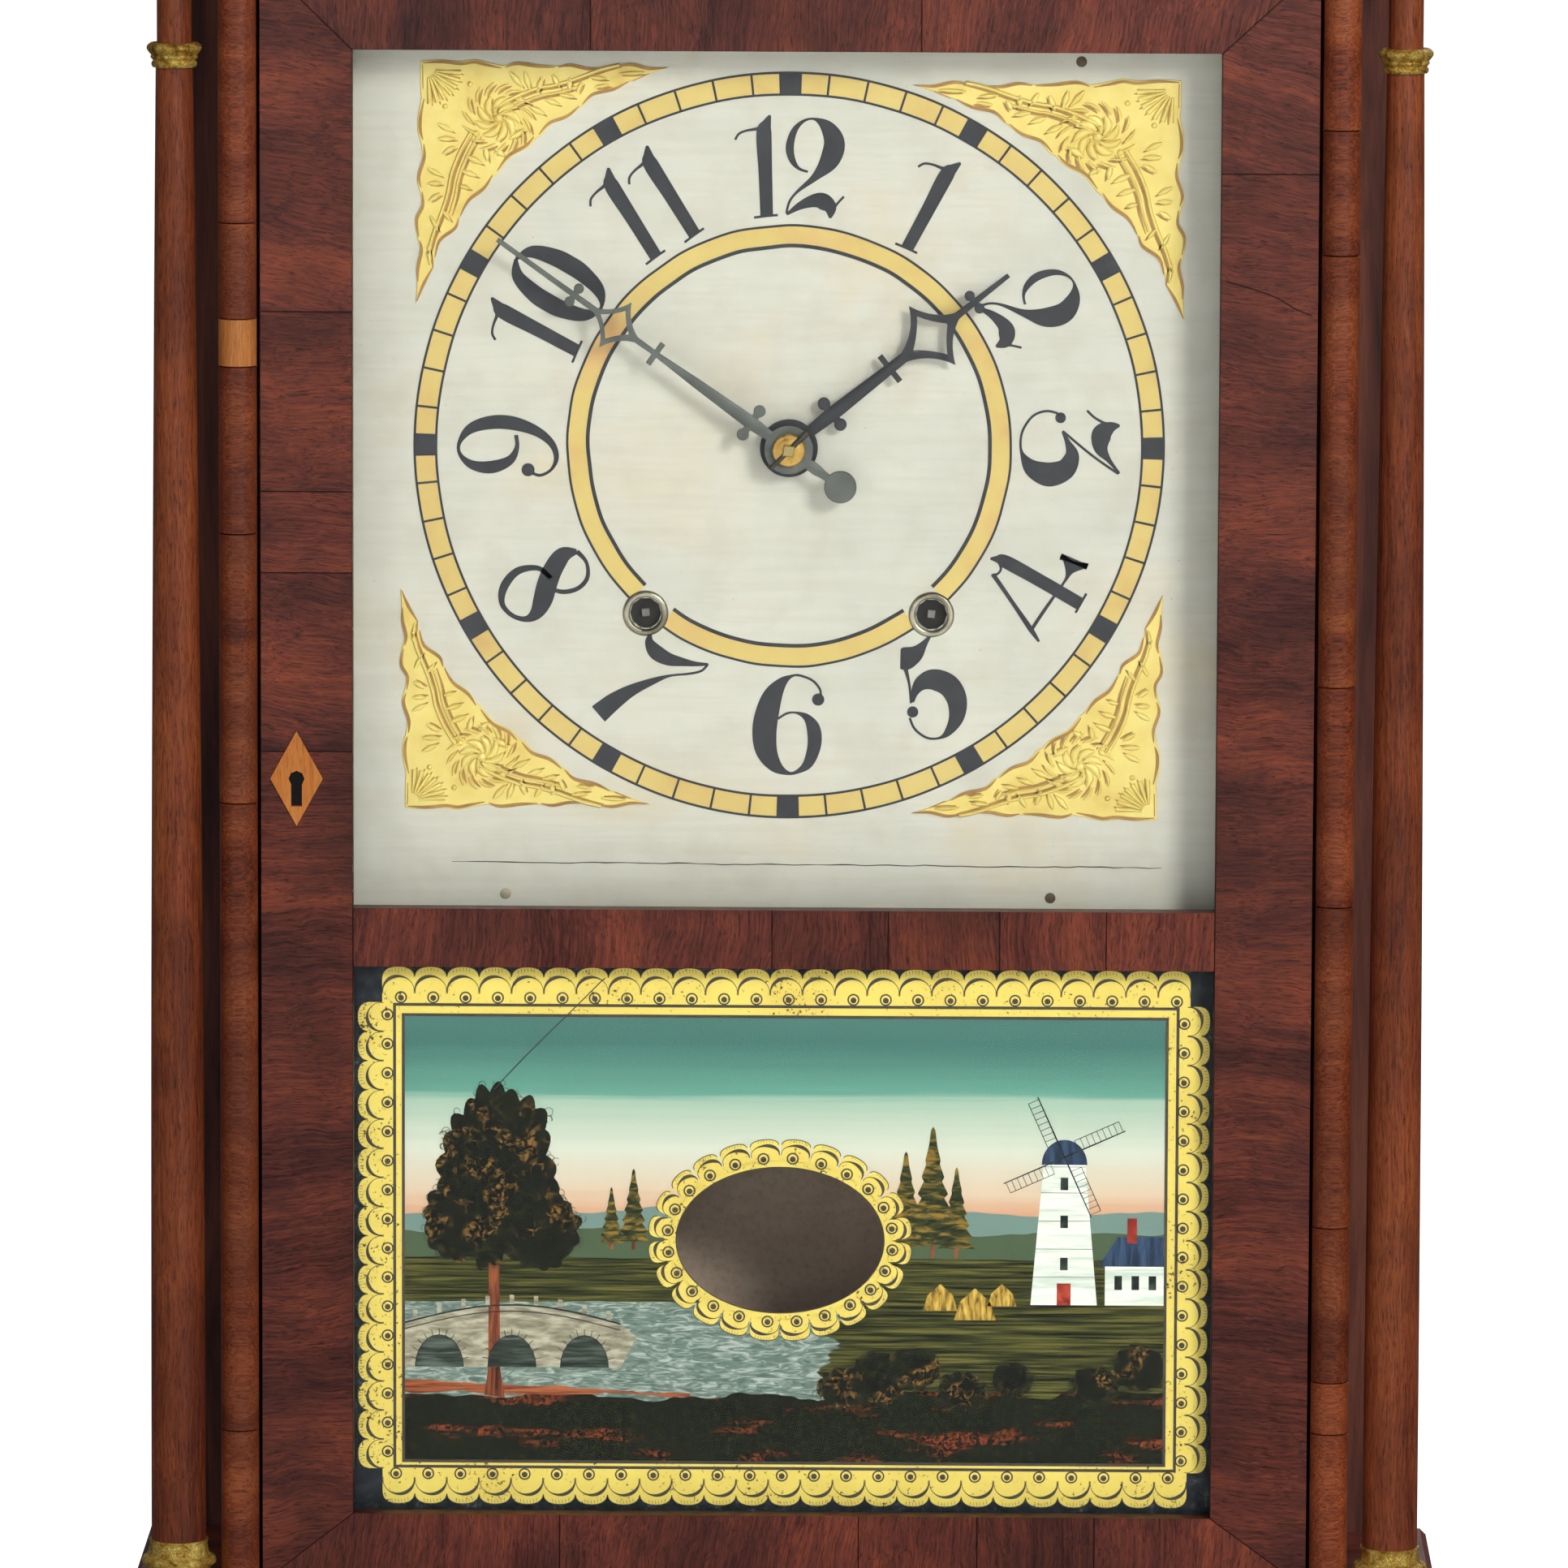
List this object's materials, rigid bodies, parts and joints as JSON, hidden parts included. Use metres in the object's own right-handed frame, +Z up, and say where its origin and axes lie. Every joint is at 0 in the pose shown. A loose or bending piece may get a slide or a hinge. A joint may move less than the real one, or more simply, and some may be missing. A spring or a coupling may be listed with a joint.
{
  "type": "pillar and scroll shelf clock",
  "caption": "Weight-driven shelf clock in a veneered case with slender columns, scrolled crest, glazed door, painted dial and painted glass tablet.",
  "frame": {"origin": "middle of the floor under the four bracket feet", "axes": "+Z up, +X to the right of a viewer facing the dial, +Y from the dial towards the back"},
  "size_m": [0.432, 0.12, 0.787],
  "materials": {
    "mahogany_veneer": "old shellac over figured veneer, satin gloss",
    "case_side_wood": "dark stained, satin",
    "column_wood": "turned and polished, glossy",
    "cross_banding": "cross-grained veneer strip, satin gloss",
    "back_pine": "bare, oxidised",
    "gilt": "burnished gilding, worn",
    "finial_brass": "turned, lightly tarnished",
    "escutcheon_wood": "light inlay, satin",
    "clear_glass": "old clear window glass",
    "painted_glass": "painted on the back, glossy",
    "dial_paint": "painted wood, aged off-white, eggshell",
    "blued_steel": "dark, lightly worn",
    "bright_steel": "plain iron wire and sheet, dull",
    "plate_oak": "bare quartered oak",
    "wheel_cherry": "bare turned cherry",
    "works_brass": "plain, tarnished",
    "iron": "rough, blackened",
    "cord_fibre": "twisted linen cord, matt"
  },
  "bodies": {
    "case": {"backboard": "back_pine", "left_side_board": "case_side_wood", "right_side_board": "case_side_wood", "base_board": "mahogany_veneer", "front_skirt": "mahogany_veneer", "left_skirt": "mahogany_veneer", "right_skirt": "mahogany_veneer", "cornice": "mahogany_veneer", "scroll_board": "mahogany_veneer", "left_plinth": "mahogany_veneer", "centre_plinth": "mahogany_veneer", "right_plinth": "mahogany_veneer", "left_finial": "finial_brass", "centre_finial": "finial_brass", "right_finial": "finial_brass", "left_half_round": "cross_banding", "right_half_round": "cross_banding", "left_column": "column_wood", "right_column": "column_wood", "left_collar": "gilt", "right_collar": "gilt", "left_column_base": "gilt", "right_column_base": "gilt", "upper_hinge_pin": "bright_steel", "lower_hinge_pin": "bright_steel", "dial_board": "dial_paint", "front_plate": "plate_oak", "back_plate": "plate_oak", "bell": "iron", "time_cord": "cord_fibre", "strike_cord": "cord_fibre"},
    "door": {"door_frame": "mahogany_veneer", "upper_pane": "clear_glass", "painted_tablet": "painted_glass", "escutcheon": "escutcheon_wood", "lock_case": "works_brass"},
    "bolt": {"lock_bolt": "bright_steel"},
    "minute_work": {"minute_hand": "blued_steel", "minute_arbor": "bright_steel"},
    "hour_work": {"hour_hand": "blued_steel", "hour_wheel": "wheel_cherry"},
    "minute_wheel_arbor": {"minute_wheel": "wheel_cherry"},
    "time_drum_arbor": {"time_drum": "wheel_cherry"},
    "time_main": {"time_main_wheel": "wheel_cherry"},
    "time_second": {"time_second_wheel": "wheel_cherry"},
    "time_third": {"time_third_wheel": "wheel_cherry"},
    "escape": {"escape_wheel": "works_brass"},
    "pendulum": {"verge": "bright_steel", "pendulum_rod": "bright_steel", "pendulum_bob": "works_brass"},
    "strike_drum_arbor": {"strike_drum": "wheel_cherry"},
    "strike_main": {"strike_main_wheel": "wheel_cherry"},
    "strike_second": {"strike_second_wheel": "wheel_cherry"},
    "strike_third": {"strike_third_wheel": "wheel_cherry"},
    "fly_arbor": {"fly": "wheel_cherry"},
    "hammer_arbor": {"hammer": "bright_steel"},
    "time_drive": {"time_weight": "iron"},
    "strike_drive": {"strike_weight": "iron"},
    "time_pulley_wheel": {"time_pulley": "works_brass"},
    "strike_pulley_wheel": {"strike_pulley": "works_brass"}
  },
  "joints": [
    {"name": "door_swing", "type": "hinge", "parent": "case", "child": "door", "pos_m": [0.159, -0.039, 0.354], "axis": [0, 0, 1], "range_deg": [0, 105]},
    {"name": "bolt_throw", "type": "slide", "parent": "door", "child": "bolt", "axis": [-1, 0, 0], "range_m": [0, 0.004]},
    {"name": "time_second_turn", "type": "hinge", "parent": "case", "child": "time_second", "pos_m": [0.03595, 0, 0.44961], "axis": [0, 1, 0], "continuous": true},
    {"name": "time_main_turn", "type": "hinge", "parent": "case", "child": "time_main", "pos_m": [0.045, 0, 0.404], "axis": [0, 1, 0], "continuous": true},
    {"name": "time_third_turn", "type": "hinge", "parent": "case", "child": "time_third", "pos_m": [0.02021, 0, 0.48048], "axis": [0, 1, 0], "continuous": true},
    {"name": "escape_turn", "type": "hinge", "parent": "case", "child": "escape", "pos_m": [0, 0, 0.501], "axis": [0, 1, 0], "continuous": true},
    {"name": "minute_turn", "type": "hinge", "parent": "case", "child": "minute_work", "pos_m": [0, 0, 0.457], "axis": [0, 1, 0], "continuous": true},
    {"name": "minute_wheel_turn", "type": "hinge", "parent": "case", "child": "minute_wheel_arbor", "pos_m": [0.01637, 0, 0.44551], "axis": [0, 1, 0], "continuous": true},
    {"name": "hour_turn", "type": "hinge", "parent": "case", "child": "hour_work", "pos_m": [0, 0, 0.457], "axis": [0, 1, 0], "continuous": true},
    {"name": "pendulum_swing", "type": "hinge", "parent": "case", "child": "pendulum", "pos_m": [0, 0, 0.523], "axis": [0, 1, 0], "range_deg": [-4, 4]},
    {"name": "time_weight_lift", "type": "slide", "parent": "case", "child": "time_drive", "axis": [0, 0, 1], "range_m": [0, 0.37], "deforming": ["time_cord"]},
    {"name": "time_drum_turn", "type": "hinge", "parent": "case", "child": "time_drum_arbor", "pos_m": [0.045, 0, 0.404], "axis": [0, 1, 0], "range_deg": [0, 1515]},
    {"name": "time_pulley_turn", "type": "hinge", "parent": "case", "child": "time_pulley_wheel", "pos_m": [0.131, 0, 0.594], "axis": [0, 1, 0], "continuous": true},
    {"name": "strike_second_turn", "type": "hinge", "parent": "case", "child": "strike_second", "pos_m": [-0.03595, 0, 0.44961], "axis": [0, 1, 0], "continuous": true},
    {"name": "strike_main_turn", "type": "hinge", "parent": "case", "child": "strike_main", "pos_m": [-0.045, 0, 0.404], "axis": [0, 1, 0], "continuous": true},
    {"name": "strike_third_turn", "type": "hinge", "parent": "case", "child": "strike_third", "pos_m": [-0.04418, 0, 0.48327], "axis": [0, 1, 0], "continuous": true},
    {"name": "fly_turn", "type": "hinge", "parent": "case", "child": "fly_arbor", "pos_m": [-0.0305, 0, 0.504], "axis": [0, 1, 0], "continuous": true},
    {"name": "strike_weight_lift", "type": "slide", "parent": "case", "child": "strike_drive", "axis": [0, 0, 1], "range_m": [0, 0.37], "deforming": ["strike_cord"]},
    {"name": "strike_drum_turn", "type": "hinge", "parent": "case", "child": "strike_drum_arbor", "pos_m": [-0.045, 0, 0.404], "axis": [0, 1, 0], "range_deg": [-1515, 0]},
    {"name": "strike_pulley_turn", "type": "hinge", "parent": "case", "child": "strike_pulley_wheel", "pos_m": [-0.131, 0, 0.594], "axis": [0, 1, 0], "continuous": true},
    {"name": "hammer_lift", "type": "hinge", "parent": "case", "child": "hammer_arbor", "pos_m": [-0.066, 0, 0.507], "axis": [0, 1, 0], "range_deg": [-12, 0]}
  ],
  "couplings": [
    {"joint": "time_main_turn", "follows": "time_second_turn", "ratio": -0.14815},
    {"joint": "time_third_turn", "follows": "time_second_turn", "ratio": -10},
    {"joint": "escape_turn", "follows": "time_second_turn", "ratio": 96.667},
    {"joint": "minute_wheel_turn", "follows": "time_second_turn", "ratio": -0.33333},
    {"joint": "minute_turn", "follows": "time_second_turn", "ratio": 1},
    {"joint": "hour_turn", "follows": "time_second_turn", "ratio": 0.083333},
    {"joint": "time_drum_turn", "follows": "time_weight_lift", "rad_per_m": 71.429},
    {"joint": "time_pulley_turn", "follows": "time_weight_lift", "rad_per_m": -91.743},
    {"joint": "strike_main_turn", "follows": "strike_second_turn", "ratio": -0.14815},
    {"joint": "strike_third_turn", "follows": "strike_second_turn", "ratio": -10},
    {"joint": "fly_turn", "follows": "strike_second_turn", "ratio": 80},
    {"joint": "strike_drum_turn", "follows": "strike_weight_lift", "rad_per_m": -71.429},
    {"joint": "strike_pulley_turn", "follows": "strike_weight_lift", "rad_per_m": 91.743}
  ]
}
